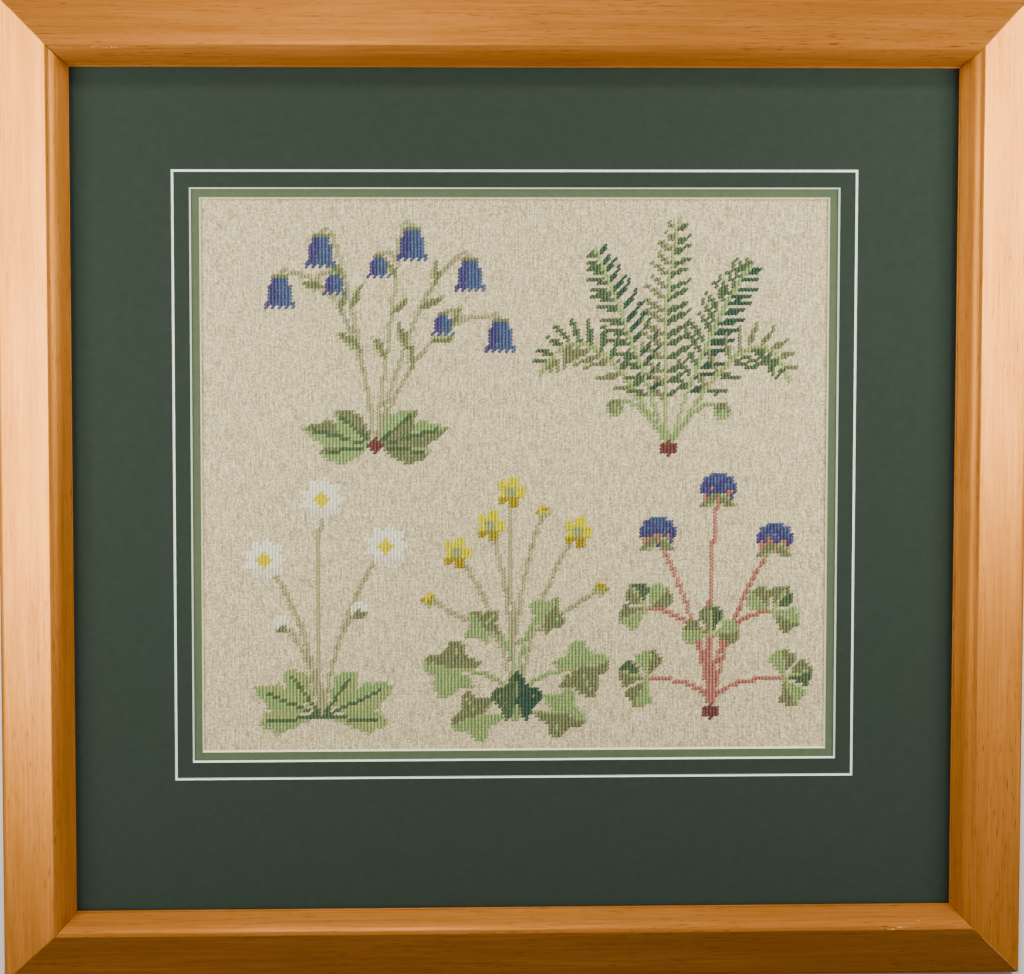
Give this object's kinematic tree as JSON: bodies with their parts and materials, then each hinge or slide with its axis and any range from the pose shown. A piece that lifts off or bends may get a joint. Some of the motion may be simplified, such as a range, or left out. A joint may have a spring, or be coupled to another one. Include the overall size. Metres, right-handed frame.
{
  "type": "cross-stitch picture with its wooden picture frame",
  "caption": "Mitred honey-wood picture frame with glass and bevelled window mats around a linen panel cross-stitched with plants, closed at the back by a board.",
  "frame": {"origin": "middle of the back plane, on the surface that the part lies on", "axes": "+Z out of the picture's face, +Y towards its top edge, +X towards its right side"},
  "size_m": [0.5522, 0.5312, 0.0262],
  "materials": {
    "honey_wood": "satin clear lacquer over a light, fine-grained wood",
    "clear_glass": "clear picture glass",
    "green_mat": "dark green paper face with a white core in its cuts",
    "sage_mat": "sage green paper face with a cream core in its cut",
    "linen": "natural evenweave linen",
    "floss": "stranded cotton floss with a soft sheen, mostly greens",
    "brown_board": "plain brown board"
  },
  "bodies": {
    "root": {"rail_top": "honey_wood", "rail_bottom": "honey_wood", "rail_left": "honey_wood", "rail_right": "honey_wood", "glass": "clear_glass", "mat_top": "green_mat", "mat_under": "sage_mat", "linen": "linen", "backing_board": "brown_board"}
  },
  "joints": []
}
